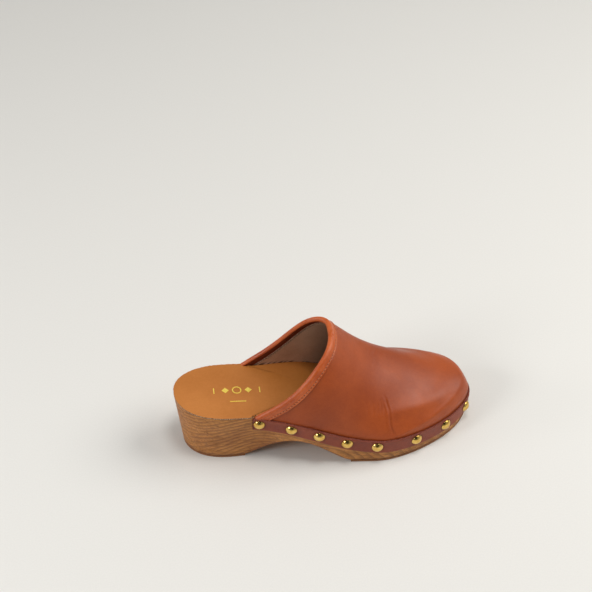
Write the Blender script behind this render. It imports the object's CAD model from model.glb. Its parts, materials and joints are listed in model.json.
import json
import math
import bmesh
import bpy
import numpy as np
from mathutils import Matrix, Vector

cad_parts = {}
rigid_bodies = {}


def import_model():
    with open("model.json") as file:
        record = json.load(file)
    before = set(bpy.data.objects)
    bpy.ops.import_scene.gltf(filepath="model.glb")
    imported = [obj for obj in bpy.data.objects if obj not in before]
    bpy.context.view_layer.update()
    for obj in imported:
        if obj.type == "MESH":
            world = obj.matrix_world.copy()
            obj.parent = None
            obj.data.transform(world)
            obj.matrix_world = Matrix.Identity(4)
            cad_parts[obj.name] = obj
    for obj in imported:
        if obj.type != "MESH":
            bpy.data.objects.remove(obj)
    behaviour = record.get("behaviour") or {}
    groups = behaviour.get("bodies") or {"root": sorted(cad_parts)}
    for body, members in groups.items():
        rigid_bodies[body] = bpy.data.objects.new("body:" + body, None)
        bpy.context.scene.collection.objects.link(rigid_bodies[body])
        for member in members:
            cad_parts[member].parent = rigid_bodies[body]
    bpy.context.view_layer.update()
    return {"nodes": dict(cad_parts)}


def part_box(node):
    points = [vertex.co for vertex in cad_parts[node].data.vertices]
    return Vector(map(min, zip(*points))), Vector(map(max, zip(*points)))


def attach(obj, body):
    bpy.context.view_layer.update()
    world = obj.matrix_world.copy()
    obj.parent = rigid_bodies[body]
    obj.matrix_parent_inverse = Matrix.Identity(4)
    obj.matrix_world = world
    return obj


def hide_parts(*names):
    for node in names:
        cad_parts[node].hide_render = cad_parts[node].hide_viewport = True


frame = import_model()
scene = bpy.context.scene

# ---- the shape of the clog, in millimetres ----
# station = distance from the back of the heel, side = across (outer side negative), height = above the floor
shape = {
    "length": 250.0, "heelCentre": 45.0, "ball": 170.0,
    "heelHalf": (34.6, 27.4), "ballHalf": (50.0, 48.5),   # outer side, inner side
    "heelPower": 2.2, "toePower": (1.55, 2.38),
    "heelHeight": 54.8, "toeHeight": 21.9,
    "heelDraft": 0.10, "toeDraft": 0.033,
    "draftBlend": (60, 140),        # stations between which the heel's draft becomes the toe's
    "breast": 55.0, "arch": 99.0, "forefoot": 142.0, "archHeight": 22.8, "archPower": 1.4,
    "springStart": 236.0, "toeSpring": 6.5, "springPower": 1.9, "springEnd": 1.2, "tread": 1.8,
    "randHeight": 13.9, "randAbove": 0.5, "randStart": 62.0,
    "fanLift": 1.0, "toplineSlope": math.radians(41),
    "crownSearch": (100.0, 200.0), "halvings": 40, "plateCentre": (125.0, 0.0),
}
layer = {            # offsets outwards from the edge of the wood
    "randOuter": 1.45, "randInner": -0.35, "vampOuter": -0.40, "liningInner": -3.05, "rebate": -3.10,
}
stationShift = float(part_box("wooden_sole")[0][0]) * 1000.0    # the back of the heel in the frame
sideShift = (shape["ballHalf"][0] - shape["ballHalf"][1]) / 2
rng = np.random.default_rng(11)


def smoothCurve(stations, values):
    # Natural cubic curve: solves for the bend at each point, then blends each pair of neighbours with it.
    x, y = np.array(stations, float), np.array(values, float)
    gap, n = np.diff(x), len(x)
    rows, right, k = np.eye(n), np.zeros(n), np.arange(1, n - 1)
    rows[k, k - 1], rows[k, k], rows[k, k + 1] = gap[:-1], 2 * (gap[:-1] + gap[1:]), gap[1:]
    right[k] = 6 * (np.diff(y)[1:] / gap[1:] - np.diff(y)[:-1] / gap[:-1])
    bend = np.linalg.solve(rows, right)

    def value(at):
        at = np.asarray(at, float)
        i = np.clip(np.searchsorted(x, at) - 1, 0, n - 2)
        a, b = (x[i + 1] - at) / gap[i], (at - x[i]) / gap[i]
        return a * y[i] + b * y[i + 1] + ((a**3 - a) * bend[i] + (b**3 - b) * bend[i + 1]) * gap[i] ** 2 / 6

    return value


halfStations = [20, 45, 70, 100, 135, 170, 195]
halfOuter = smoothCurve(halfStations, [34.6, 34.6, 35.5, 43.0, 47.4, 50.0, 50.0])
halfInner = smoothCurve(halfStations, [27.4, 27.4, 28.3, 32.5, 37.9, 48.5, 50.0])
footbed = smoothCurve([0, 50, 80, 110, 140, 170, 210, 250], [54.8, 52.1, 48.9, 43.0, 31.0, 25.4, 22.9, 21.9])
crownHeight = smoothCurve([100, 125, 150, 175, 200, 225, 241, 247, 250],
                          [117.0, 111.6, 88.4, 69.4, 56.4, 45.9, 39.6, 35.0, 28.6])
crownSide = smoothCurve([100, 150, 205, 250], [7.0, 10.0, 10.0, 0.0])
chordStation = smoothCurve([100, 125, 140, 170, 200, 225, 241, 250], [50, 80, 99, 129, 149, 160.5, 167, 170])
powerOuter = smoothCurve([100, 130, 150, 175, 215, 250], [2.7, 2.5, 2.15, 1.88, 1.85, 1.55])
powerInner = smoothCurve([100, 130, 150, 175, 215, 250], [2.4, 2.6, 2.3, 2.05, 2.15, 2.38])
toplineHeight = smoothCurve([44, 62, 81, 95, 107, 117, 124.5, 132, 152],
                            [37, 51.6, 64.8, 77, 89.5, 99.5, 105.5, 110.5, 121])
# how far the topline is cut forward of its plain slanting line, from the outer end (0) to the inner end (1)
toplineForward = smoothCurve([0, 0.12, 0.25, 0.38, 0.5, 0.6, 0.72, 0.86, 1.0],
                             [1.2, 1.0, 0.9, 1.0, 0.2, -2.2, -4.8, -4.4, -3.0])


def smoothStep(x, low, high):
    # Rises from 0 at low to 1 at high as 3 t squared less 2 t cubed.
    t = np.clip((np.asarray(x, float) - low) / (high - low), 0, 1)
    return t * t * (3 - 2 * t)


def bump(x, centre, width):
    # Bell of height 1: e to the minus square of the distance from the centre over the width.
    return np.exp(-((x - centre) / width) ** 2)


def randBottom(station):
    # Height of the rand's lower edge: its own height below its upper edge, which stands above the footbed.
    return footbed(station) + shape["randAbove"] - shape["randHeight"]


def underside(station):
    # Flat heel, an arch made of two powered quarter sines, flat forefoot, then a rising toe.
    x = np.asarray(station, float)
    back = np.clip((x - shape["breast"]) / (shape["arch"] - shape["breast"]), 0, 1)
    front = np.clip((shape["forefoot"] - x) / (shape["forefoot"] - shape["arch"]), 0, 1)
    share = np.where(x < shape["arch"], back, front)
    arch = shape["archHeight"] * np.sin(np.pi / 2 * share) ** shape["archPower"]
    run = shape["length"] - shape["springStart"]
    toe = np.clip((x - shape["springStart"]) / run, 0, shape["springEnd"])
    return arch + shape["toeSpring"] * toe ** shape["springPower"]


def outlinePoints(heelOffset, toeOffset):
    # Points of the sole's outline: superellipse quarters at heel and toe, half widths between them.
    quarter = np.radians([0, 20, 42, 66, 90])
    sides = np.array([64, 86, 108, 130, 150.0])
    grown = heelOffset + (toeOffset - heelOffset) * smoothStep(sides, *shape["draftBlend"])
    loops = []
    for k, sign in ((0, -1), (1, 1)):
        half = (halfOuter, halfInner)[k]
        heel, toe = 2 / shape["heelPower"], 2 / shape["toePower"][k]
        reach = shape["length"] - shape["ball"] + toeOffset
        back = shape["heelCentre"] - (shape["heelCentre"] + heelOffset) * np.cos(quarter) ** heel
        x = np.concatenate((back, sides, shape["ball"] + reach * np.sin(quarter) ** toe))
        y = np.concatenate(((shape["heelHalf"][k] + heelOffset) * np.sin(quarter) ** heel,
                            half(sides) + grown, (shape["ballHalf"][k] + toeOffset) * np.cos(quarter) ** toe))
        loops.append(np.column_stack((x, sign * y)))
    return np.vstack((loops[0], loops[1][-2:0:-1]))


def closedCurve(points, knots, at):
    # Periodic cubic curve through closed points, its bends found from one cyclic set of equations.
    n = len(points)
    gap = np.diff(np.append(knots[:-1], knots[-1]))
    k = np.arange(n)
    rows = np.zeros((n, n))
    rows[k, k - 1] += gap[k - 1]
    rows[k, k] += 2 * (gap[k - 1] + gap)
    rows[k, (k + 1) % n] += gap
    step = np.roll(points, -1, 0) - points
    bend = np.linalg.solve(rows, 6 * (step / gap[:, None] - (step / gap[:, None])[k - 1]))
    i = np.clip(np.searchsorted(knots, at, side="right") - 1, 0, n - 1)
    j = (i + 1) % n
    b = ((at - knots[i]) / gap[i])[:, None]
    a = 1 - b
    curve = ((a**3 - a) * bend[i] + (b**3 - b) * bend[j]) * (gap[i] ** 2)[:, None] / 6
    return a * points[i] + b * points[j] + curve


basePoints = outlinePoints(0, 0)
chord = np.hypot(*(np.roll(basePoints, -1, 0) - basePoints).T)
edgeKnots = np.concatenate(([0], np.cumsum(chord)))
denseAt = np.linspace(0, edgeKnots[-1], 6001)[:-1]
denseBase = closedCurve(basePoints, edgeKnots, denseAt)
denseHeel = closedCurve(outlinePoints(1, 0) - basePoints, edgeKnots, denseAt)
denseToe = closedCurve(outlinePoints(0, 1) - basePoints, edgeKnots, denseAt)
denseArc = np.concatenate(([0], np.cumsum(np.hypot(*np.diff(denseBase, axis=0).T))))
edgeLength = denseArc[-1] + np.hypot(*(denseBase[0] - denseBase[-1]))
toeIndex = int(np.argmax(denseBase[:, 0]))


def edgeArc(station, side):
    # Distance along the outline, from the back of the heel round the outer side, of a station on one side.
    if side < 0:
        return np.interp(station, denseBase[:toeIndex, 0], denseArc[:toeIndex])
    return np.interp(station, denseBase[:toeIndex:-1, 0], denseArc[:toeIndex:-1])


def edgeAt(arc):
    # Outline point and how it moves for one millimetre of offset at the heel and at the toe.
    columns = np.hstack((denseBase, denseHeel, denseToe))
    arc = np.mod(arc, edgeLength)
    found = np.column_stack([np.interp(arc, denseArc, column, period=edgeLength) for column in columns.T])
    return found[:, :2], found[:, 2:4], found[:, 4:]


def wallPoint(edge, offset, height):
    # Drafted wall: the outline moved out by the offset, leaning out with height.
    base, heel, toe = edge
    atHeel = offset + shape["heelDraft"] * (height - shape["heelHeight"])
    atToe = offset + shape["toeDraft"] * (height - shape["toeHeight"])
    xy = base + heel * atHeel[..., None] + toe * atToe[..., None]
    return np.concatenate((xy, np.broadcast_to(height, xy.shape[:-1])[..., None]), -1)


def fanPoint(s, a, offset, drop=0.0):
    # Vamp: crown station s picks a tilted plane hinged on a chord of the footbed, and angle a runs from the
    # outer side over the ridge to the inner side on a superellipse in that plane. drop lowers the point.
    s = np.minimum(s, shape["length"])
    hinge = chordStation(s)
    hingeZ = footbed(hinge) + shape["fanLift"]
    step = 0.25
    slope = crownHeight(s + step) - crownHeight(s - step)
    norm = np.hypot(2 * step, slope)
    leanX = s - offset * slope / norm - hinge
    leanZ = crownHeight(s) + offset * 2 * step / norm - hingeZ
    middle = crownSide(s)
    outer, inner = halfOuter(hinge) + middle + offset, halfInner(hinge) - middle + offset
    onOuter = a <= np.pi / 2
    power = np.where(onOuter, powerOuter(s), powerInner(s))
    across = np.abs(np.cos(a)) ** (2 / power)
    up = np.abs(np.sin(a)) ** (2 / power)
    y = middle + np.where(onOuter, -outer, inner) * across
    return np.stack(np.broadcast_arrays(hinge + up * leanX, y, hingeZ + up * leanZ - drop), -1)


def toplineStation(a, distance, offset, drop=0.0):
    # Crown station at which a line of the fan crosses the topline moved forward, found by halving.
    a, distance, offset, drop = np.broadcast_arrays(a, distance + toplineForward(a / np.pi), offset, drop)
    dx, dz = distance * math.sin(shape["toplineSlope"]), -distance * math.cos(shape["toplineSlope"])
    low, high = (np.full(a.shape, end) for end in shape["crownSearch"])
    for _ in range(shape["halvings"]):
        middle = (low + high) / 2
        p = fanPoint(middle, a, offset, drop)
        behind = toplineHeight(p[..., 0] - dx) + dz < p[..., 2]
        low, high = np.where(behind, middle, low), np.where(behind, high, middle)
    return (low + high) / 2


def toRow(points):
    # From the clog's own millimetres to the frame's metres.
    return (points + np.array([stationShift, sideShift, 0.0])) * 0.001


# ---- mesh helpers ----
mergeWithin = 2e-6    # metres


def gridFaces(rows, columns, wrap=False):
    # Quads of a grid of points numbered row by row; wrap joins the last column to the first.
    i, j = np.meshgrid(np.arange(rows - 1), np.arange(columns if wrap else columns - 1), indexing="ij")
    k = (j + 1) % columns
    here, below = i * columns, (i + 1) * columns
    return np.stack((here + j, here + k, below + k, below + j), -1).reshape(-1, 4)


def makePiece(name, points, faces, masks=None, closed=True):
    # Points and faces put into a mesh, doubles merged, closed shapes turned to face outwards.
    mesh = bpy.data.meshes.new(name)
    mesh.from_pydata(toRow(points).tolist(), [], [list(map(int, face)) for face in faces])
    for maskName, values in (masks or {}).items():
        mask = mesh.attributes.new(maskName, "FLOAT", "POINT")
        mask.data.foreach_set("value", np.asarray(values, np.float32).ravel())
    work = bmesh.new()
    work.from_mesh(mesh)
    bmesh.ops.remove_doubles(work, verts=work.verts, dist=mergeWithin)
    if closed:
        bmesh.ops.recalc_face_normals(work, faces=work.faces)
    work.to_mesh(mesh)
    work.free()
    mesh.shade_smooth()
    piece = bpy.data.objects.new(name, mesh)
    scene.collection.objects.link(piece)
    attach(piece, "root")
    return piece


def addModifier(piece, kind, **values):
    modifier = piece.modifiers.new(kind.title(), kind)
    for key, value in values.items():
        setattr(modifier, key, value)
    return modifier


def sweptLoop(name, grid, masks=None):
    # Closed profile carried along a path: grid[path, profile], with a flat face at each end.
    rows, columns = grid.shape[:2]
    faces = list(gridFaces(rows, columns, wrap=True))
    faces += [np.arange(columns)[::-1], np.arange(columns) + (rows - 1) * columns]
    return makePiece(name, grid.reshape(-1, 3), faces, masks)


def wobble(arc, pitch, seed):
    # Smooth random line: random heights at a pitch, joined by a cubic.
    count = int(np.max(arc) / pitch) + 4
    heights = np.random.default_rng(seed).uniform(-1, 1, count)
    return smoothCurve(np.arange(count) * pitch, heights)(arc)


# ---- materials ----
def link(tree, source, target):
    tree.links.new(source, target)


def newNode(tree, kind, **values):
    made = tree.nodes.new(kind)
    for key, value in values.items():
        setattr(made, key, value)
    return made


def ramp(tree, factor, stops):
    made = tree.nodes.new("ShaderNodeValToRGB")
    band = made.color_ramp.elements
    while len(band) < len(stops):
        band.new(0.5)
    for element, (position, colour) in zip(band, stops):
        element.position = position
        element.color = colour if len(colour) == 4 else (*colour, 1)
    link(tree, factor, made.inputs["Fac"])
    return made.outputs["Color"]


def mix(tree, factor, first, second, blend="MIX"):
    made = newNode(tree, "ShaderNodeMix", data_type="RGBA", blend_type=blend)
    for socket, value in ((made.inputs[0], factor), (made.inputs[6], first), (made.inputs[7], second)):
        if isinstance(value, bpy.types.NodeSocket):
            link(tree, value, socket)
        elif isinstance(value, tuple):
            socket.default_value = (*value[:3], 1)
        else:
            socket.default_value = value
    return made.outputs[2]


def maths(tree, kind, first, second=0.0):
    made = newNode(tree, "ShaderNodeMath", operation=kind)
    for socket, value in zip(made.inputs, (first, second)):
        if isinstance(value, bpy.types.NodeSocket):
            link(tree, value, socket)
        else:
            socket.default_value = value
    return made.outputs[0]


def noise(tree, place, scale, detail=3.0, rough=0.55, distortion=0.0):
    made = newNode(tree, "ShaderNodeTexNoise")
    values = {"Scale": scale, "Detail": detail, "Roughness": rough, "Distortion": distortion}
    for key, value in values.items():
        made.inputs[key].default_value = value
    link(tree, place, made.inputs["Vector"])
    return made.outputs["Fac"]


def spread(tree, value, low, high, toLow=0.0, toHigh=1.0):
    made = newNode(tree, "ShaderNodeMapRange", interpolation_type="SMOOTHSTEP")
    link(tree, value, made.inputs["Value"])
    for key, number in (("From Min", low), ("From Max", high), ("To Min", toLow), ("To Max", toHigh)):
        made.inputs[key].default_value = number
    return made.outputs["Result"]


def stretched(tree, place, scale, turn=(0, 0, 0), move=(0, 0, 0)):
    made = newNode(tree, "ShaderNodeMapping")
    made.inputs["Scale"].default_value = scale
    made.inputs["Rotation"].default_value = turn
    made.inputs["Location"].default_value = move
    link(tree, place, made.inputs["Vector"])
    return made.outputs["Vector"]


def linear(*screen):
    # Screen colour (0 to 255) made linear: the standard curve, straight near black and a power above it.
    shares = [value / 255 for value in screen]
    return tuple(c / 12.92 if c <= 0.04045 else ((c + 0.055) / 1.055) ** 2.4 for c in shares)


def newGroup(name, inputs, outputs):
    group = bpy.data.node_groups.new(name, "ShaderNodeTree")
    for key, kind, value in inputs:
        socket = group.interface.new_socket(key, in_out="INPUT", socket_type=kind)
        if value is not None:
            socket.default_value = value
    for key, kind in outputs:
        group.interface.new_socket(key, in_out="OUTPUT", socket_type=kind)
    return group, group.nodes.new("NodeGroupInput").outputs, group.nodes.new("NodeGroupOutput").inputs


hideLook = {
    "cloudDetail": 4.0, "cloudRough": 0.6, "cloudBand": (0.3, 0.72),
    "speckleSize": 420.0, "speckleBand": (0.3, 0.75), "speckleShare": 0.22,
    "poreBand": (0.0, 0.22), "poreShade": (0.6, 0.5, 0.45), "poreShare": 0.35,
    "wrinkleStretch": (1.0, 0.45, 0.7), "wrinkleSize": 240.0, "wrinkleShare": 0.65,
    "glossSize": 60.0, "glossBand": (0.3, 0.7),
}


def buildHideGroup():
    # Dyed leather: cloudy colour, stretch streaks, pores and fine wrinkles as height, and uneven gloss.
    group, given, result = newGroup("tannedHide", [
        ("Place", "NodeSocketVector", None), ("Dark", "NodeSocketColor", (0.2, 0.05, 0.02, 1)),
        ("Light", "NodeSocketColor", (0.5, 0.16, 0.06, 1)), ("Cloud Size", "NodeSocketFloat", 26.0),
        ("Pore Size", "NodeSocketFloat", 1400.0), ("Gloss Low", "NodeSocketFloat", 0.34),
        ("Gloss High", "NodeSocketFloat", 0.52), ("Mottle", "NodeSocketFloat", 0.35)],
        [("Color", "NodeSocketColor"), ("Roughness", "NodeSocketFloat"), ("Height", "NodeSocketFloat")])
    look = hideLook
    clouds = newNode(group, "ShaderNodeTexNoise")
    clouds.inputs["Detail"].default_value = look["cloudDetail"]
    clouds.inputs["Roughness"].default_value = look["cloudRough"]
    link(group, given["Place"], clouds.inputs["Vector"])
    link(group, given["Cloud Size"], clouds.inputs["Scale"])
    cloudy = spread(group, clouds.outputs["Fac"], *look["cloudBand"])
    speckle = spread(group, noise(group, given["Place"], look["speckleSize"], 4.0, 0.7), *look["speckleBand"])
    tone = maths(group, "ADD", maths(group, "MULTIPLY", cloudy, 1.0 - look["speckleShare"]),
                 maths(group, "MULTIPLY", speckle, look["speckleShare"]))
    blend = mix(group, tone, given["Dark"], given["Light"])
    dots = newNode(group, "ShaderNodeTexVoronoi", feature="DISTANCE_TO_EDGE")
    link(group, given["Place"], dots.inputs["Vector"])
    link(group, given["Pore Size"], dots.inputs["Scale"])
    cells = spread(group, dots.outputs["Distance"], *look["poreBand"])
    shade = maths(group, "MULTIPLY", maths(group, "SUBTRACT", 1.0, cells), given["Mottle"])
    link(group, mix(group, shade, blend, look["poreShade"], "MULTIPLY"), result["Color"])
    pulled = stretched(group, given["Place"], look["wrinkleStretch"])
    wrinkle = noise(group, pulled, look["wrinkleSize"], 5.0, 0.65, 0.6)
    height = maths(group, "ADD", maths(group, "MULTIPLY", cells, look["poreShare"]),
                   maths(group, "MULTIPLY", wrinkle, look["wrinkleShare"]))
    link(group, height, result["Height"])
    uneven = noise(group, given["Place"], look["glossSize"], 5.0, 0.7)
    gloss = newNode(group, "ShaderNodeMapRange")
    link(group, uneven, gloss.inputs["Value"])
    gloss.inputs["From Min"].default_value, gloss.inputs["From Max"].default_value = look["glossBand"]
    link(group, given["Gloss Low"], gloss.inputs["To Min"])
    link(group, given["Gloss High"], gloss.inputs["To Max"])
    link(group, gloss.outputs["Result"], result["Roughness"])
    return group


def buildFibreGroup():
    # Raw cut edge: short pale and dark fibres.
    group, given, result = newGroup("rawEdge", [
        ("Place", "NodeSocketVector", None), ("Dark", "NodeSocketColor", (0.05, 0.015, 0.01, 1)),
        ("Light", "NodeSocketColor", (0.5, 0.3, 0.2, 1)), ("Size", "NodeSocketFloat", 900.0)],
        [("Color", "NodeSocketColor"), ("Height", "NodeSocketFloat")])
    fibre = newNode(group, "ShaderNodeTexNoise")
    fibre.inputs["Detail"].default_value = 5.0
    fibre.inputs["Roughness"].default_value = 0.75
    link(group, given["Place"], fibre.inputs["Vector"])
    link(group, given["Size"], fibre.inputs["Scale"])
    split = spread(group, fibre.outputs["Fac"], 0.38, 0.66)
    link(group, mix(group, split, given["Dark"], given["Light"]), result["Color"])
    link(group, split, result["Height"])
    return group


hideGroup = buildHideGroup()
fibreGroup = buildFibreGroup()


def newMaterial(name, **shaderValues):
    material = bpy.data.materials.new(name)
    material.use_nodes = True
    tree = material.node_tree
    shader = tree.nodes["Principled BSDF"]
    for key, value in shaderValues.items():
        shader.inputs[key.replace("_", " ")].default_value = value
    place = tree.nodes.new("ShaderNodeTexCoord").outputs["Object"]
    return material, tree, shader, place


def useGroup(tree, group, place, **values):
    made = newNode(tree, "ShaderNodeGroup", node_tree=group)
    link(tree, place, made.inputs["Place"])
    for key, value in values.items():
        made.inputs[key.replace("_", " ")].default_value = (*value, 1) if isinstance(value, tuple) else value
    return made.outputs


def bumpInto(tree, shader, height, strength, distance):
    made = newNode(tree, "ShaderNodeBump")
    made.inputs["Strength"].default_value = strength
    made.inputs["Distance"].default_value = distance
    link(tree, height, made.inputs["Height"])
    link(tree, made.outputs["Normal"], shader.inputs["Normal"])


def attribute(tree, name):
    return newNode(tree, "ShaderNodeAttribute", attribute_name=name).outputs["Fac"]


leatherLook = {"specular": 0.34, "coat": 0.03, "coatRough": 0.3, "edgeHeight": 2.0, "grainDepth": 0.0002}


def leather(name, dark, light, edgeMask=None, edgeDark=(40, 12, 8), edgeLight=(120, 60, 40),
            bumpStrength=0.35, shade=None, **groupValues):
    # Hide group over the sheet and fibres where the edge mask is 1; shade may darken the colour first.
    look = leatherLook
    material, tree, shader, place = newMaterial(name, Specular_IOR_Level=look["specular"],
                                                Coat_Weight=look["coat"], Coat_Roughness=look["coatRough"])
    hide = useGroup(tree, hideGroup, place, Dark=linear(*dark), Light=linear(*light), **groupValues)
    colour, height = hide["Color"], hide["Height"]
    if shade:
        colour = shade(tree, colour)
    if edgeMask:
        raw = useGroup(tree, fibreGroup, place, Dark=linear(*edgeDark), Light=linear(*edgeLight))
        amount = attribute(tree, edgeMask)
        colour = mix(tree, amount, colour, raw["Color"])
        fibres = maths(tree, "MULTIPLY", raw["Height"], maths(tree, "MULTIPLY", amount, look["edgeHeight"]))
        height = maths(tree, "ADD", height, fibres)
    link(tree, colour, shader.inputs["Base Color"])
    link(tree, hide["Roughness"], shader.inputs["Roughness"])
    bumpInto(tree, shader, height, bumpStrength, look["grainDepth"])
    return material


woodLook = {
    "specular": 0.4, "warpScale": (7.0, 34.0, 34.0), "warpReach": 0.014,
    "ringScale": (0.55, 0.6, 1.0), "ringTurn": (0.0, math.radians(-2), math.radians(2)),
    "ringMove": (0.0196, 0.004, 0.012), "ringCount": 270.0,       # rings in a metre
    "unevenScale": (5.0, 46.0, 46.0), "uneven": 2.6, "patchScale": (16.0, 50.0, 50.0),
    "streakScale": (14.0, 380.0, 380.0), "fleckScale": (230.0, 1300.0, 1300.0), "cloudSize": 26.0,
    "palest": (208, 142, 70), "pale": (172, 108, 48),
    "late": ((112, 64, 30), 0.62), "streak": ((128, 76, 38), 0.38),    # colour and how much of it
    "fleck": ((92, 52, 26), 0.55), "burnt": ((104, 54, 28), 0.7),
    "rough": (0.44, 0.58), "bump": 0.25, "bumpDepth": 0.0002,
}


def buildWood():
    # Stained plain-sawn beech: growth rings about an axis that tilts along the shoe, pores and fine flecks.
    look = woodLook
    material, tree, shader, place = newMaterial("stainedWood", Specular_IOR_Level=look["specular"])

    def grain(key, detail, rough=0.55):
        return noise(tree, stretched(tree, place, look[key]), 1.0, detail, rough)

    def stain(base, mask, key):
        colour, amount = look[key]
        return mix(tree, maths(tree, "MULTIPLY", mask, amount), base, linear(*colour))

    warp = grain("warpScale", 3.0, 0.6)
    bent = newNode(tree, "ShaderNodeVectorMath", operation="ADD")
    link(tree, stretched(tree, place, look["ringScale"], look["ringTurn"], look["ringMove"]), bent.inputs[0])
    push = newNode(tree, "ShaderNodeCombineXYZ")
    shift = maths(tree, "MULTIPLY", maths(tree, "SUBTRACT", warp, 0.5), look["warpReach"])
    link(tree, shift, push.inputs["Y"])
    link(tree, shift, push.inputs["Z"])
    link(tree, push.outputs["Vector"], bent.inputs[1])
    far = newNode(tree, "ShaderNodeVectorMath", operation="LENGTH")
    link(tree, bent.outputs["Vector"], far.inputs[0])
    uneven = maths(tree, "MULTIPLY", grain("unevenScale", 3.0), look["uneven"])
    count = maths(tree, "MULTIPLY", far.outputs["Value"], look["ringCount"])
    rings = maths(tree, "FRACT", maths(tree, "ADD", count, uneven))
    fall = maths(tree, "SUBTRACT", 1.0, spread(tree, rings, 0.92, 1.0))
    late = maths(tree, "MULTIPLY", spread(tree, rings, 0.25, 0.9), fall)
    late = maths(tree, "MULTIPLY", late, spread(tree, grain("patchScale", 3.0), 0.32, 0.66, 0.25, 1.0))
    streak = spread(tree, grain("streakScale", 4.0, 0.65), 0.35, 0.68)
    fleck = spread(tree, grain("fleckScale", 2.0, 0.5), 0.52, 0.66)
    cloud = spread(tree, noise(tree, place, look["cloudSize"], 4.0, 0.6), 0.3, 0.7)
    base = mix(tree, cloud, linear(*look["pale"]), linear(*look["palest"]))
    base = stain(base, late, "late")
    base = stain(base, streak, "streak")
    base = stain(base, fleck, "fleck")
    base = stain(base, attribute(tree, "burnt"), "burnt")
    link(tree, base, shader.inputs["Base Color"])
    link(tree, spread(tree, streak, 0.0, 1.0, *look["rough"]), shader.inputs["Roughness"])
    height = maths(tree, "SUBTRACT", maths(tree, "MULTIPLY", late, 0.4), maths(tree, "MULTIPLY", fleck, 1.0))
    bumpInto(tree, shader, height, look["bump"], look["bumpDepth"])
    return material


brassLook = {
    "dark": (214, 170, 84), "bright": (240, 205, 120), "tarnishSize": 260.0,
    "scratchScale": (400.0, 400.0, 2600.0), "rough": (0.14, 0.30), "bump": 0.06, "bumpDepth": 0.0001,
}


def buildBrass():
    # Polished brass with faint tarnish clouds and fine scratches in the gloss.
    look = brassLook
    material, tree, shader, place = newMaterial("nailBrass", Metallic=1.0)
    scratch = noise(tree, stretched(tree, place, look["scratchScale"]), 1.0, 4.0, 0.6)
    tarnish = [(0.3, linear(*look["dark"])), (0.7, linear(*look["bright"]))]
    link(tree, ramp(tree, noise(tree, place, look["tarnishSize"], 3.0), tarnish), shader.inputs["Base Color"])
    link(tree, spread(tree, scratch, 0.3, 0.75, *look["rough"]), shader.inputs["Roughness"])
    bumpInto(tree, shader, scratch, look["bump"], look["bumpDepth"])
    return material


def buildPlain(name, dark, light, size, low, high, metallic=0.0, strength=0.2):
    # Even finish with a small grain: two colours and a roughness from low to high on one noise.
    material, tree, shader, place = newMaterial(name, Metallic=metallic)
    patch = noise(tree, place, size, 4.0, 0.6)
    link(tree, ramp(tree, patch, [(0.3, linear(*dark)), (0.7, linear(*light))]), shader.inputs["Base Color"])
    link(tree, spread(tree, patch, 0.3, 0.7, low, high), shader.inputs["Roughness"])
    bumpInto(tree, shader, patch, strength, 0.0002)
    return material


def darkenInside(tree, colour):
    # Worn dark where the lining runs deep into the shoe.
    return mix(tree, maths(tree, "MULTIPLY", attribute(tree, "deep"), 0.97), colour, linear(20, 11, 7))


print("materials: shared groups and finishes")
vampLeather = leather("vampLeather", (148, 62, 20), (178, 82, 30), "raw", Cloud_Size=22.0, Mottle=0.28)
bindingLeather = leather("bindingLeather", (166, 70, 28), (212, 108, 52), "raw", (58, 20, 12), (92, 40, 24),
                         Cloud_Size=30.0, Mottle=0.2, Gloss_Low=0.24, Gloss_High=0.38)
flapLeather = leather("flapLeather", (92, 30, 14), (128, 48, 22), Cloud_Size=40.0, Mottle=0.3)
randLeather = leather("randLeather", (128, 52, 32), (162, 78, 50), "raw", (88, 34, 24), (146, 74, 54),
                      bumpStrength=0.5, Cloud_Size=60.0, Mottle=0.35, Gloss_Low=0.42, Gloss_High=0.6)
insoleLeather = leather("insoleLeather", (176, 106, 42), (196, 124, 58), "raw", (70, 44, 28), (206, 176, 140),
                        bumpStrength=0.22, Cloud_Size=16.0, Pore_Size=1800.0, Mottle=0.12,
                        Gloss_Low=0.44, Gloss_High=0.58)
liningLeather = leather("liningLeather", (196, 154, 124), (226, 186, 156), "raw", (96, 66, 50),
                        (196, 158, 130), bumpStrength=0.5, shade=darkenInside, Cloud_Size=30.0,
                        Pore_Size=1500.0, Mottle=0.35, Gloss_Low=0.55, Gloss_High=0.72)
threadFinish = buildPlain("waxedThread", (168, 98, 62), (206, 138, 96), 1500.0, 0.45, 0.7)
innerThread = buildPlain("liningThread", (150, 118, 96), (186, 152, 128), 1500.0, 0.5, 0.75)
rubberFinish = buildPlain("treadRubber", (136, 88, 52), (158, 106, 66), 500.0, 0.6, 0.8)
stiffFinish = buildPlain("pressedStiffener", (190, 176, 150), (214, 202, 180), 700.0, 0.6, 0.8)
steelFinish = buildPlain("nailSteel", (120, 120, 122), (170, 170, 172), 900.0, 0.25, 0.45, 1.0)
foilFinish = buildPlain("goldFoil", (232, 196, 66), (252, 226, 110), 900.0, 0.3, 0.5, 0.25, 0.3)
woodFinish = buildWood()
brassFinish = buildBrass()


def dress(piece, slotName, *materials):
    # Gives a piece its materials and its slot.
    for material in materials:
        piece.data.materials.append(material)
    return piece


# ---- wooden sole ----
wood = {
    "columns": 720, "topRings": 26, "bottomRings": 60, "wallRows": 14,
    "topRound": 0.35, "topTurn": (35, 65, 90), "bottomRound": 1.1, "bottomTurn": (25, 50, 72, 90),
    "rebateBack": 0.1, "ledgeGap": 0.05, "ledgeLeast": 0.4, "ledgeStep": 0.12,
    "burntFrom": 0.93, "burntWall": 0.6, "burntEdge": 0.8,
}


def ringColumns(count):
    # Outline points evenly spaced along the edge of the wood.
    return edgeAt(np.linspace(0, edgeLength, count, endpoint=False))


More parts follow.
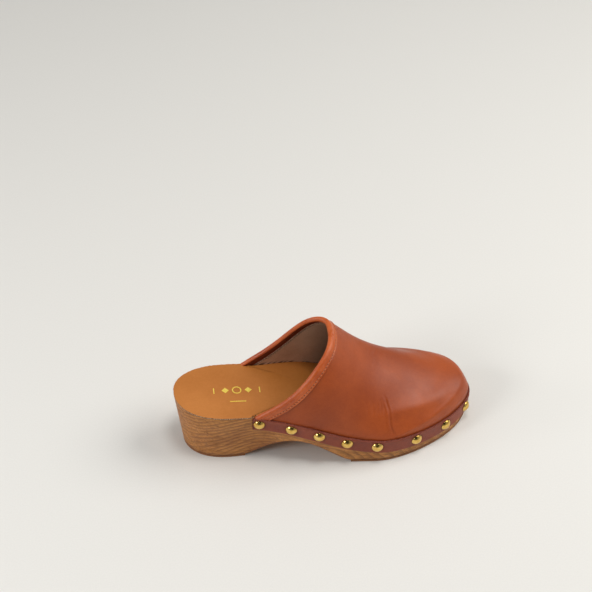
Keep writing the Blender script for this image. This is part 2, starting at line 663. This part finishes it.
def plateRows(edge, offset, heightAt, shares):
    # Rings shrinking from the wall to the middle of the shoe, each point at the height of its own station.
    centre = np.array(shape["plateCentre"])
    rim = wallPoint(edge, offset, heightAt(edge[0][:, 0]))[..., :2]
    xy = centre + (rim[None] - centre) * shares[:, None, None]
    return np.concatenate((xy, heightAt(xy[..., 0])[..., None]), -1)


def roundedRow(edge, offset, height, radius, angle, way):
    # One ring of a rounded corner: a quarter circle that turns from the plate (0) to the wall (90 degrees).
    turned = height + way * radius * (1 - math.cos(angle))
    return wallPoint(edge, offset - radius * (1 - math.sin(angle)), turned)[None]


def woodUnderside(station):
    # The wood stops one tread's thickness above the shoe's own underside.
    return underside(station) + shape["tread"]


def buildSole():
    # Rings from the middle of the footbed out, down the wall past the rebate, and in again underneath.
    edge = ringColumns(wood["columns"])
    station = edge[0][:, 0]
    inRand = station > shape["randStart"] - wood["rebateBack"]
    top = np.where(inRand, layer["rebate"], 0.0)
    plain = np.zeros_like(station)
    rows = [plateRows(edge, top - wood["topRound"], footbed, np.linspace(0, 1, wood["topRings"]))]
    burnt = [0.0] * wood["topRings"]
    for angle in np.radians(wood["topTurn"]):
        rows.append(roundedRow(edge, top, footbed(station), wood["topRound"], angle, -1))
        burnt.append(0.0)
    bottom = woodUnderside(station) + wood["bottomRound"]
    ledge = np.maximum(randBottom(station) - wood["ledgeGap"], bottom + wood["ledgeLeast"])
    rows.append(wallPoint(edge, top, ledge)[None])
    rows.append(wallPoint(edge, np.where(inRand, -wood["ledgeStep"], 0.0), ledge)[None])
    burnt += [0.0, 0.0]
    wallTop = ledge - wood["ledgeStep"]
    for share in np.linspace(0, 1, wood["wallRows"]):
        rows.append(wallPoint(edge, plain, wallTop + (bottom - wallTop) * share)[None])
        burnt.append(wood["burntWall"] * float(smoothStep(share, wood["burntFrom"], 1.0)))
    for angle in np.radians(wood["bottomTurn"]):
        offset = plain - wood["bottomRound"] * (1 - np.cos(angle))
        rows.append(wallPoint(edge, offset, bottom - wood["bottomRound"] * math.sin(angle))[None])
        burnt.append(wood["burntEdge"])
    rows.append(plateRows(edge, plain - wood["bottomRound"], woodUnderside,
                          np.linspace(1, 0, wood["bottomRings"])[1:]))
    burnt += [0.0] * (wood["bottomRings"] - 1)
    grid = np.concatenate(rows)
    mask = np.broadcast_to(np.array(burnt)[:, None], grid.shape[:2])
    faces = gridFaces(*grid.shape[:2], wrap=True)
    piece = makePiece("woodenSole", grid.reshape(-1, 3), faces, {"burnt": mask})
    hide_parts("wooden_sole")
    return dress(piece, "stained_wood", woodFinish)


buildSole()
print("sole: one-piece wood")

# ---- insole ----
insole = {
    "columns": 640, "rings": 40, "bottomRings": 12, "thickness": 1.17, "gap": 0.05, "inset": 0.1,
    "round": 0.45, "turn": (30, 60, 90), "insideFrom": (60.5, 62.5), "insideGap": 0.05,
    "ragged": 0.16, "raggedPitch": 1.7, "rawTurn": (0.6, 1.2),
}


def insoleLow(station):
    # Underside of the insole: a hair above the footbed.
    return footbed(station) + insole["gap"]


def insoleTop(station):
    # Upper face of the insole: its thickness above its underside.
    return insoleLow(station) + insole["thickness"]


def buildInsole():
    # Thin plate that follows the footbed, flush with the wood at the heel and inside the lining in front.
    edge = ringColumns(insole["columns"])
    station = edge[0][:, 0]
    arc = np.linspace(0, edgeLength, insole["columns"], endpoint=False)
    front = smoothStep(station, *insole["insideFrom"])
    ragged = insole["ragged"] * wobble(arc, insole["raggedPitch"], 3) * (1 - front)
    out = -insole["inset"] + ragged + (layer["liningInner"] - insole["insideGap"] + insole["inset"]) * front
    rows = [plateRows(edge, out - insole["round"], insoleTop, np.linspace(0, 1, insole["rings"]))]
    raw = [0.0] * insole["rings"]
    for angle in np.radians(insole["turn"]):
        rows.append(roundedRow(edge, out, insoleTop(station), insole["round"], angle, -1))
        raw.append(float(smoothStep(angle, *insole["rawTurn"])))
    rows.append(wallPoint(edge, out, insoleLow(station))[None])
    raw.append(1.0)
    rows.append(plateRows(edge, out, insoleLow, np.linspace(1, 0, insole["bottomRings"])[1:]))
    raw += [0.0] * (insole["bottomRings"] - 1)
    grid = np.concatenate(rows)
    mask = np.broadcast_to(np.array(raw)[:, None], grid.shape[:2])
    faces = gridFaces(*grid.shape[:2], wrap=True)
    piece = makePiece("insoleLeather", grid.reshape(-1, 3), faces, {"raw": mask})
    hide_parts("insole_sock")
    return dress(piece, "insole_leather", insoleLeather)


buildInsole()
print("insole: smooth leather over the wood")

# ---- nails: places on the wall of the rand ----
nails = {
    "outer": [67.0, 92.5, 115.0, 138.0, 163.0, 197.0, 224.0, 244.5],
    "inner": [65.5, 92.0, 116.0, 141.0, 169.0, 199.0, 226.0, 245.0],
    "radius": 4.9, "height": 2.8, "standOff": 0.08, "columns": 40, "rows": 14,
    "rimReach": (0.99, 0.90, 0.86, 0.0),          # rolled rim and hollow back
    "rimHeight": (-0.16, -0.14, 0.3, 1.5),
    "dimple": 0.45,
}


def nailFrames():
    # Place, direction along the edge, up the wall and outward normal of every nail.
    arcs = np.concatenate((edgeArc(nails["outer"], -1), edgeArc(nails["inner"], 1)))
    stations = np.array(nails["outer"] + nails["inner"])
    middle = footbed(stations) + shape["randAbove"] - shape["randHeight"] / 2
    offset = np.full(len(arcs), layer["randOuter"])
    here = wallPoint(edgeAt(arcs), offset, middle)
    along = wallPoint(edgeAt(arcs + 0.5), offset, middle) - wallPoint(edgeAt(arcs - 0.5), offset, middle)
    up = wallPoint(edgeAt(arcs), offset, middle + 1) - wallPoint(edgeAt(arcs), offset, middle - 1)
    along /= np.linalg.norm(along, axis=1)[:, None]
    normal = np.cross(along, up)
    normal /= np.linalg.norm(normal, axis=1)[:, None]
    return here, along, np.cross(normal, along), normal


nailHere, nailAlong, nailUp, nailOut = nailFrames()


def buildNails():
    # Domes: a spherical cap with a rolled rim, turned about its own axis and placed at every nail.
    radius, height = nails["radius"], nails["height"]
    turn = np.linspace(0, 2 * np.pi, nails["columns"], endpoint=False)
    sphere = (radius**2 + height**2) / (2 * height)
    r = radius * np.sin(np.linspace(0, 1, nails["rows"]) * np.pi / 2)
    z = np.sqrt(sphere**2 - r**2) - (sphere - height)
    r = np.concatenate((r, radius * np.array(nails["rimReach"])))
    z = np.concatenate((z, nails["rimHeight"]))
    x, y, z = np.broadcast_arrays(r[:, None] * np.cos(turn), r[:, None] * np.sin(turn), z[:, None])
    place, along, up, out = (part[:, None, None] for part in (nailHere, nailAlong, nailUp, nailOut))
    points = place + out * nails["standOff"] + x[..., None] * along + y[..., None] * up + z[..., None] * out
    one = gridFaces(*x.shape, wrap=True)
    faces = one[None] + (np.arange(len(nailHere)) * x.size)[:, None, None]
    piece = makePiece("domeNails", points.reshape(-1, 3), faces.reshape(-1, 4))
    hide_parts("dome_nail_caps")
    return dress(piece, "nail_brass", brassFinish)


buildNails()
print("nails: sixteen brass domes")

# ---- rand ----
rand = {
    "columns": 760, "faceRows": 22, "edgeRound": 0.35, "cornerShare": 0.3,
    "wander": ((0.16, 6.0, 5), (0.07, 1.3, 6)),           # reach, pitch and seed of the uneven upper edge
    "pressRing": 0.2, "pressWidth": 0.9, "pressUnder": 0.8, "ringMark": 0.35, "fray": (-0.45, 0.25),
}


def buildRand():
    # Flat strip carried round the edge of the wood from its two cut ends, dented by every nail.
    first, last = edgeArc(shape["randStart"], -1), edgeArc(shape["randStart"], 1)
    arc = np.linspace(first, last, rand["columns"])
    edge = edgeAt(arc)
    station = edge[0][:, 0]
    low = randBottom(station)
    high = footbed(station) + shape["randAbove"]
    high += sum(reach * wobble(arc, pitch, seed) for reach, pitch, seed in rand["wander"])
    outer, inner, corner = layer["randOuter"], layer["randInner"], rand["edgeRound"]
    cut = corner * rand["cornerShare"]
    rows, raw = [], []
    for share in np.linspace(0, 1, rand["faceRows"]):
        height = low + corner + (high - low - 2 * corner) * share
        point = wallPoint(edge, np.full(len(arc), outer), height)
        gap = np.linalg.norm(point[:, None] - nailHere[None], axis=2).min(1)
        sunk = bump(gap, nails["radius"] - rand["pressRing"], rand["pressWidth"])
        sunk = nails["dimple"] * np.minimum(sunk + rand["pressUnder"] * (gap < nails["radius"]), 1.0)
        rows.append(wallPoint(edge, outer - sunk, height))
        raw.append(rand["ringMark"] * bump(gap, nails["radius"] + 0.1, 0.35))
    tail = [(outer - cut, high - cut, 0.5), (outer - corner, high, 1.0), (inner + 0.2, high + 0.05, 1.0),
            (inner, high - 0.2, 1.0), (inner, low + 0.2, 0.0), (outer - corner, low, 0.6),
            (outer - cut, low + cut, 0.3)]
    for offset, height, amount in tail:
        rows.append(wallPoint(edge, np.full(len(arc), offset), height))
        raw.append(np.full(len(arc), amount))
    grid, mask = np.stack(rows, 1), np.stack(raw, 1)
    mask[:2] = mask[-2:] = 1.0
    fray = rng.uniform(*rand["fray"], grid.shape[1])
    grid[0, :, 0] += fray
    grid[-1, :, 0] += fray[::-1]
    piece = sweptLoop("randStrip", grid, {"raw": mask})
    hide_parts("rand_strip")
    return dress(piece, "rand_leather", randLeather)


buildRand()
print("rand: nailed leather strip")

# ---- vamp and lining ----
vamp = {
    "rows": 190, "columns": 214, "start": 1.1, "thickness": 1.4, "rawRows": 0,
    "shoulder": 1.15, "shoulderHeight": 44.5, "shoulderFall": 4.0, "shoulderRun": (175, 232),
    "shoulderFade": (158, 186), "shoulderWidth": 3.6, "hollow": 0.35, "hollowAbove": 9.0, "hollowWidth": 6.0,
    "crease": 0.6, "creaseWidth": 0.6, "creaseEnds": (26.5, 33, 50, 57), "outerSide": (4, 14),
    "creaseHeights": [24, 27.5, 36.1, 46.6, 53.2, 58.0],
    "creaseStations": [180.0, 178.3, 174.8, 174.1, 172.5, 170.0],
    "creaseLips": [(-1.7, 0.34, 1.1), (1.6, 0.22, 1.0)],         # shift, rise and width
    "wrinkles": [(4.5, 42, 54, 0.22), (7.5, 43, 56, 0.18), (10.5, 42, 55, 0.16),
                 (14.0, 44, 58, 0.14), (18.0, 46, 60, 0.10)],    # behind the crease, low, high, depth
    "wrinkleWidth": 0.8, "wrinkleLean": 0.25,
    "throatLines": [(163.0, 0.20), (167.5, 0.28), (172.0, 0.14)],
    "throatSide": 4.0, "throatReach": 9.0, "throatWidth": 1.2, "throatLean": 0.35,
}
lining = {"rows": 110, "columns": 170, "start": 7.6, "thickness": 0.55, "rawRows": 2}
skirts = {"rows": 8, "clear": 0.3, "deepFrom": (104, 152)}


def vampRelief(s, a):
    # Height added along the normal: a bell on the shoulder of the toe box, less bells on the hollow above it,
    # on the crease at the ball, on the wrinkles behind it and on the lines across the throat.
    p = fanPoint(s, a, layer["vampOuter"])
    x, y, z = p[..., 0], p[..., 1], p[..., 2]
    shoulder = vamp["shoulderHeight"] - vamp["shoulderFall"] * smoothStep(x, *vamp["shoulderRun"])
    height = vamp["shoulder"] * bump(z, shoulder, vamp["shoulderWidth"])
    height -= vamp["hollow"] * bump(z, shoulder + vamp["hollowAbove"], vamp["hollowWidth"])
    height *= smoothStep(x, *vamp["shoulderFade"])
    outer = smoothStep(-y, *vamp["outerSide"])
    line = np.interp(z, vamp["creaseHeights"], vamp["creaseStations"])
    ends = vamp["creaseEnds"]
    length = smoothStep(z, *ends[:2]) * (1 - smoothStep(z, *ends[2:])) * outer
    height -= vamp["crease"] * bump(x, line, vamp["creaseWidth"]) * length
    for shift, rise, width in vamp["creaseLips"]:
        height += rise * bump(x, line + shift, width) * length
    for back, low, high, depth in vamp["wrinkles"]:
        span = smoothStep(z, low, low + 4) * (1 - smoothStep(z, high - 4, high)) * outer
        height -= depth * bump(x, line - back + vamp["wrinkleLean"] * (z - low), vamp["wrinkleWidth"]) * span
    aside = y - vamp["throatSide"]
    for station, depth in vamp["throatLines"]:
        span = bump(aside, 0.0, vamp["throatReach"])
        height -= depth * bump(x, station + vamp["throatLean"] * aside, vamp["throatWidth"]) * span
    return height


def plainRelief(s, a):
    # No height at all.
    return np.zeros(np.broadcast(s, a).shape)


def leatherSheet(name, spec, offset, relief=plainRelief):
    # Sheet on the fan from the topline to the toe, with an upright skirt hanging from its lower edge.
    rows, columns = spec["rows"], spec["columns"]
    a = np.linspace(0, np.pi, columns)
    start = toplineStation(a, spec["start"], offset)
    s = start[None] + (shape["length"] - start[None]) * np.linspace(0, 1, rows)[:, None]
    angle = np.broadcast_to(a, s.shape)
    grid = fanPoint(s, angle, offset + relief(s, angle))
    rim = np.concatenate((grid[:, 0], grid[-1, 1:-1], grid[::-1, -1]))
    station, side = rim[:, 0], np.sign(rim[:, 1])
    low = randBottom(np.minimum(station, shape["length"])) + skirts["clear"]
    drop = np.linspace(0, 1, skirts["rows"])[:, None] * (rim[:, 2] - low)[None]
    skirt = np.repeat(rim[None], skirts["rows"], 0)
    blend = smoothStep(station, *shape["draftBlend"])
    lean = shape["heelDraft"] + (shape["toeDraft"] - shape["heelDraft"]) * blend
    beyond = np.clip((station - shape["ball"]) / (shape["length"] - shape["ball"]), 0, 1)
    skirt[..., 0] -= drop * lean * beyond
    skirt[..., 1] -= side * drop * lean * (1 - beyond)
    skirt[..., 2] -= drop
    faces = gridFaces(rows, columns)[:, ::-1]
    below = gridFaces(skirts["rows"], len(rim))[:, ::-1] + rows * columns
    raw = np.zeros(grid.shape[:2])
    raw[:spec["rawRows"]] = 1.0
    deep = smoothStep(grid[..., 0], *skirts["deepFrom"])
    masks = {"raw": np.concatenate((raw.ravel(), np.zeros(drop.size))),
             "deep": np.concatenate((deep.ravel(), np.ones(drop.size)))}
    points = np.vstack((grid.reshape(-1, 3), skirt.reshape(-1, 3)))
    return makePiece(name, points, np.vstack((faces, below)), masks, closed=False)


def faceUp(piece):
    # Turns every face of an open sheet so that its highest part looks up.
    work = bmesh.new()
    work.from_mesh(piece.data)
    bmesh.ops.recalc_face_normals(work, faces=work.faces)
    work.faces.ensure_lookup_table()
    high = max(work.faces, key=lambda face: face.calc_center_median().z)
    if high.normal.z < 0:
        bmesh.ops.reverse_faces(work, faces=work.faces)
    work.to_mesh(piece.data)
    work.free()


def buildVamp():
    # Outer sheet, thickened inwards.
    piece = leatherSheet("vampLeather", vamp, layer["vampOuter"], vampRelief)
    faceUp(piece)
    addModifier(piece, "SOLIDIFY", thickness=vamp["thickness"] * 0.001, offset=-1.0)
    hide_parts("upper_vamp")
    return dress(piece, "vamp_leather", vampLeather)


def buildLining():
    # Inner sheet, thickened outwards.
    piece = leatherSheet("vampLining", lining, layer["liningInner"])
    faceUp(piece)
    addModifier(piece, "SOLIDIFY", thickness=lining["thickness"] * 0.001, offset=1.0)
    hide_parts("vamp_lining")
    return dress(piece, "lining_leather", liningLeather)


buildVamp()
print("vamp: one sheet of leather")
buildLining()
print("lining: soft leather inside")

# ---- toe puff between vamp and lining ----
puff = {
    "start": 206.0, "rows": 40, "columns": 90, "offset": -1.95, "thickness": 0.45, "side": 0.2,
    "searchFrom": 150, "searchSteps": 400, "stopShort": 0.5, "cornerShort": 1.5,
}


def buildPuff():
    # Stiff sheet under the front of the vamp: the same fan, from one station forward.
    a = np.linspace(puff["side"] * np.pi, (1 - puff["side"]) * np.pi, puff["columns"])
    s = np.linspace(puff["searchFrom"], shape["length"], puff["searchSteps"])
    ahead = fanPoint(s[:, None], a[None], puff["offset"])[..., 0] > puff["start"]
    start = np.where(ahead.any(0), s[np.argmax(ahead, axis=0)], shape["length"] - puff["cornerShort"])
    end = shape["length"] - puff["stopShort"]
    at = start[None] + (end - start[None]) * np.linspace(0, 1, puff["rows"])[:, None]
    grid = fanPoint(at, np.broadcast_to(a, at.shape), puff["offset"])
    piece = makePiece("toePuff", grid.reshape(-1, 3), gridFaces(puff["rows"], puff["columns"]), closed=False)
    faceUp(piece)
    addModifier(piece, "SOLIDIFY", thickness=puff["thickness"] * 0.001, offset=-1.0)
    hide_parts("toe_puff")
    return dress(piece, "stiffener", stiffFinish)


buildPuff()
print("toe puff: pressed stiffener")

# ---- binding round the topline ----
binding = {
    "columns": 520, "seam": 6.4, "pitch": 2.9, "channel": 0.22, "channelWidth": 0.45, "endDrop": 0.45,
    "width": 8.0, "flat": 0.50, "flatFrom": 4.4, "flatRows": 22, "edgeRound": 0.3,
    "beadCentre": 2.4, "beadReach": 2.5, "beadOut": 0.95, "beadIn": -3.65, "beadTurn": (35, 325),
    "beadRows": 26, "beadCut": 1.2, "flap": -2.75, "flapFrom": 5.0, "flapEnd": 8.6, "flapRows": 8,
    "back": [(8.6, -2.45), (8.6, -2.0), (6.0, -1.9), (1.6, -1.85), (1.0, -1.1), (1.6, -0.36), (5.0, -0.36),
             (7.9, -0.36), (8.0, 0.1), (7.9, 0.4)],       # the hidden side, from the flap's end to the band's
    "holeDepth": 0.5, "holeWidth": 0.55, "holeDark": 0.85, "cutEnd": 0.6, "lineSteps": 3000,
}
outerSeam = {
    "distance": binding["seam"], "offset": binding["flat"] - 0.10, "pitch": binding["pitch"],
    "radius": 0.34, "length": 1.9, "ends": 3.0,
}
innerSeam = {
    "distance": lining["start"] + 2.0, "offset": layer["liningInner"] - 0.02, "pitch": 2.6,
    "radius": 0.30, "length": 1.9, "ends": 8.0,
}
stitch = {"rows": 9, "columns": 8, "taper": 3, "squash": 0.8, "sink": 0.28, "lift": 0.2}


def onLeather(a, distance, offset, drop=0.0):
    # Point at a distance forward of the topline and an offset from the edge of the wood.
    return fanPoint(toplineStation(a, distance, layer["vampOuter"], drop), a, offset, drop)


def arcAlong(line):
    # Distance from the first point of a line to each of its points.
    return np.concatenate(([0], np.cumsum(np.linalg.norm(np.diff(line, axis=0), axis=1))))


def bindingProfile():
    # Distance from the topline and offset of each profile point: flat band, round bead, inner flap and back.
    b = binding
    across = np.linspace(b["width"] - b["edgeRound"], b["flatFrom"], b["flatRows"])
    flat = np.column_stack((across, b["flat"] - b["channel"] * bump(across, b["seam"], b["channelWidth"])))
    turn = np.radians(np.linspace(*b["beadTurn"], b["beadRows"]))
    middle, half = (b["beadOut"] + b["beadIn"]) / 2, (b["beadOut"] - b["beadIn"]) / 2
    bead = np.column_stack((b["beadCentre"] + b["beadReach"] * np.cos(turn), middle + half * np.sin(turn)))
    bead = bead[bead[:, 0] < b["beadCentre"] + b["beadCut"]]
    under = np.linspace(b["flapFrom"], b["flapEnd"] - 0.2, b["flapRows"])
    flap = np.column_stack((under, np.full(len(under), b["flap"])))
    return np.vstack((flat, bead, flap, b["back"])), len(flat), len(bead)


def buildBinding():
    # The profile carried along the topline at even steps, with a lowered column at each end and a dent
    # and a dark hole wherever two stitches meet.
    profile, flatCount, beadCount = bindingProfile()
    even = np.linspace(0, np.pi, binding["lineSteps"])
    length = arcAlong(onLeather(even, binding["seam"], layer["vampOuter"]))
    arc = np.linspace(0, length[-1], binding["columns"])
    a = np.concatenate(([0], np.interp(arc, length, even), [np.pi]))[:, None]
    arc = np.concatenate(([0], arc, [length[-1]]))
    drop = np.zeros(a.shape)
    drop[[0, -1]] = binding["endDrop"]
    distance = np.broadcast_to(profile[:, 0], (len(a), len(profile)))
    phase = np.abs(np.mod(arc / binding["pitch"], 1.0) - 0.5) * binding["pitch"]
    wide = binding["holeWidth"]
    hole = bump(phase, 0.0, wide)[:, None] * bump(distance, binding["seam"], wide)
    hole = hole * (np.arange(len(profile)) < flatCount)
    offset = profile[:, 1] - binding["holeDepth"] * hole
    raw = np.zeros(distance.shape)
    raw[:, -3:] = 1.0
    raw[:, 0] = binding["cutEnd"]
    raw = np.maximum(raw, binding["holeDark"] * hole)
    inside = np.zeros(distance.shape)
    flapStart = flatCount + beadCount
    inside[:, flapStart - 5:flapStart + binding["flapRows"] + 3] = 1.0
    piece = sweptLoop("toplineBinding", onLeather(a, distance, offset, drop), {"raw": raw, "inside": inside})
    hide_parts("topline_binding")
    dress(piece, "binding_leather", bindingLeather, flapLeather)
    paintFlap(piece.data)
    return piece


def paintFlap(mesh):
    # Second material on every face whose corners all have the inside mask.
    mask = np.zeros(len(mesh.vertices), np.float32)
    mesh.attributes["inside"].data.foreach_get("value", mask)
    corners, starts = np.zeros(len(mesh.loops), np.int32), np.zeros(len(mesh.polygons), np.int32)
    mesh.loops.foreach_get("vertex_index", corners)
    mesh.polygons.foreach_get("loop_start", starts)
    least = np.minimum.reduceat(mask[corners], starts)
    mesh.polygons.foreach_set("material_index", (least > 0.5).astype(np.int32))


def buildStitches(name, seam, material, nodeName):
    # Short rounded threads end to end along the topline, each a squashed tube with closed, sunken tips.
    a = np.linspace(0, np.pi, binding["lineSteps"])
    distance, offset, pitch = seam["distance"], seam["offset"], seam["pitch"]
    arc = arcAlong(onLeather(a, distance, offset))
    middles = np.arange(np.ceil(seam["ends"] / pitch), np.floor((arc[-1] - seam["ends"]) / pitch)) * pitch
    t = np.linspace(-1, 1, stitch["rows"])
    angle = np.interp(middles[:, None] + t * seam["length"] / 2, arc, a)
    spine = onLeather(angle, distance, offset)
    outward = onLeather(angle, distance, offset + stitch["lift"]) - spine
    outward /= np.linalg.norm(outward, axis=-1, keepdims=True)
    along = np.gradient(spine, axis=1)
    along /= np.linalg.norm(along, axis=-1, keepdims=True)
    across = np.cross(outward, along)[:, :, None]
    centre = spine - outward * (stitch["sink"] * t**2)[:, None]
    turn = np.linspace(0, 2 * np.pi, stitch["columns"], endpoint=False)[:, None]
    thick = seam["radius"] * np.sqrt(np.clip(1 - np.abs(t) ** stitch["taper"], 0.0, 1))[:, None, None]
    circle = np.cos(turn) * across + stitch["squash"] * np.sin(turn) * outward[:, :, None]
    ring = centre[:, :, None] + thick * circle
    one = gridFaces(stitch["rows"], stitch["columns"], wrap=True)
    faces = one[None] + (np.arange(len(middles)) * stitch["rows"] * stitch["columns"])[:, None, None]
    piece = makePiece(name, ring.reshape(-1, 3), faces.reshape(-1, 4))
    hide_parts(nodeName)
    return dress(piece, "thread", material)


buildBinding()
buildStitches("outerStitches", outerSeam, threadFinish, "outer_stitching")
buildStitches("innerStitches", innerSeam, innerThread, "inner_stitching")
print("binding: folded strip, bead and two seams")

# ---- pieces that stay as the frame has them ----
cadFinish = {
    "heel_tread": rubberFinish, "forefoot_tread": rubberFinish, "foil_mark": foilFinish,
    "dome_nail_pins": steelFinish, "lasting_staples": steelFinish,
}
for nodeName, material in cadFinish.items():
    node = frame["nodes"][nodeName]
    for obj in [node, *node.children_recursive]:
        if obj.type == "MESH":
            obj.data.materials.clear()
            obj.data.materials.append(material)
print("frame pieces: treads, mark, pins and staples")

# ---- studio ----
studio = {
    "floorSize": 3.0, "floor": (228, 226, 221), "floorGrain": 3, "floorGrainSize": 700.0,
    "lens": 91.12, "cameraPlace": (-0.1330, -0.8378, 0.9691), "cameraTarget": (-0.0036, 0.1569, 0.0),
    "skyStrength": 0.42, "sky": (240, 240, 238),
    "unlit": (70, 68, 66), "unlitSide": (-0.08, -0.74, 0.67), "unlitEdge": (0.72, 0.93),   # behind the camera
}
lamps = {    # place, target, size and power, all of them discs
    "keyLight": ((1.15, 0.05, 1.2), (0, 0, 0.04), 1.2, 16.5, (1.0, 0.985, 0.96)),
    "leftLight": ((-1.15, -0.55, 0.85), (0, 0, 0.05), 0.5, 6.4, (0.99, 0.99, 1.0)),
    "rimLight": ((-1.35, 0.02, 0.74), (0, 0, 0.08), 0.3, 2.6, (1, 1, 1)),
    "topLight": ((0.12, -0.2, 1.7), (0, 0, 0), 0.42, 6.4, (1, 1, 1)),
}


def buildFloor():
    # Flat pale square with a faint grain.
    mesh = bpy.data.meshes.new("studioFloor")
    half = studio["floorSize"] / 2
    corners = [(-half, -half, 0), (half, -half, 0), (half, half, 0), (-half, half, 0)]
    mesh.from_pydata(corners, [], [(0, 1, 2, 3)])
    floor = bpy.data.objects.new("studioFloor", mesh)
    scene.collection.objects.link(floor)
    material, tree, shader, place = newMaterial("paleFloor", Roughness=0.8)
    darker = [value - studio["floorGrain"] for value in studio["floor"]]
    stops = [(0.3, linear(*darker)), (0.7, linear(*studio["floor"]))]
    grain = noise(tree, place, studio["floorGrainSize"], 2.0)
    link(tree, ramp(tree, grain, stops), shader.inputs["Base Color"])
    mesh.materials.append(material)


def aimAt(obj, place, target):
    obj.location = place
    obj.rotation_euler = (Vector(target) - Vector(place)).to_track_quat("-Z", "Y").to_euler()
    scene.collection.objects.link(obj)


def addLight(name, place, target, size, power, colour):
    data = bpy.data.lights.new(name, "AREA")
    data.shape, data.size, data.energy, data.color = "DISK", size, power, colour
    aimAt(bpy.data.objects.new(name, data), place, target)


def buildWorld():
    # Pale all round, with one unlit side that the nails show as their dark tops.
    world = bpy.data.worlds.new("studioWorld")
    scene.world = world
    world.use_nodes = True
    tree = world.node_tree
    background = tree.nodes["Background"]
    background.inputs["Strength"].default_value = studio["skyStrength"]
    toward = newNode(tree, "ShaderNodeVectorMath", operation="DOT_PRODUCT")
    toward.inputs[1].default_value = studio["unlitSide"]
    link(tree, tree.nodes.new("ShaderNodeTexCoord").outputs["Generated"], toward.inputs[0])
    dark = spread(tree, toward.outputs["Value"], *studio["unlitEdge"])
    link(tree, mix(tree, dark, linear(*studio["sky"]), linear(*studio["unlit"])), background.inputs["Color"])


buildFloor()
for lampName, lamp in lamps.items():
    addLight(lampName, *lamp)
buildWorld()
scene.view_settings.view_transform = "Standard"

cameraData = bpy.data.cameras.new("camera")
cameraData.lens = studio["lens"]
cameraData.sensor_width = 36.0
cameraData.clip_end = 20.0
camera = bpy.data.objects.new("camera", cameraData)
aimAt(camera, studio["cameraPlace"], studio["cameraTarget"])
scene.camera = camera
print("studio: floor, lights and camera")
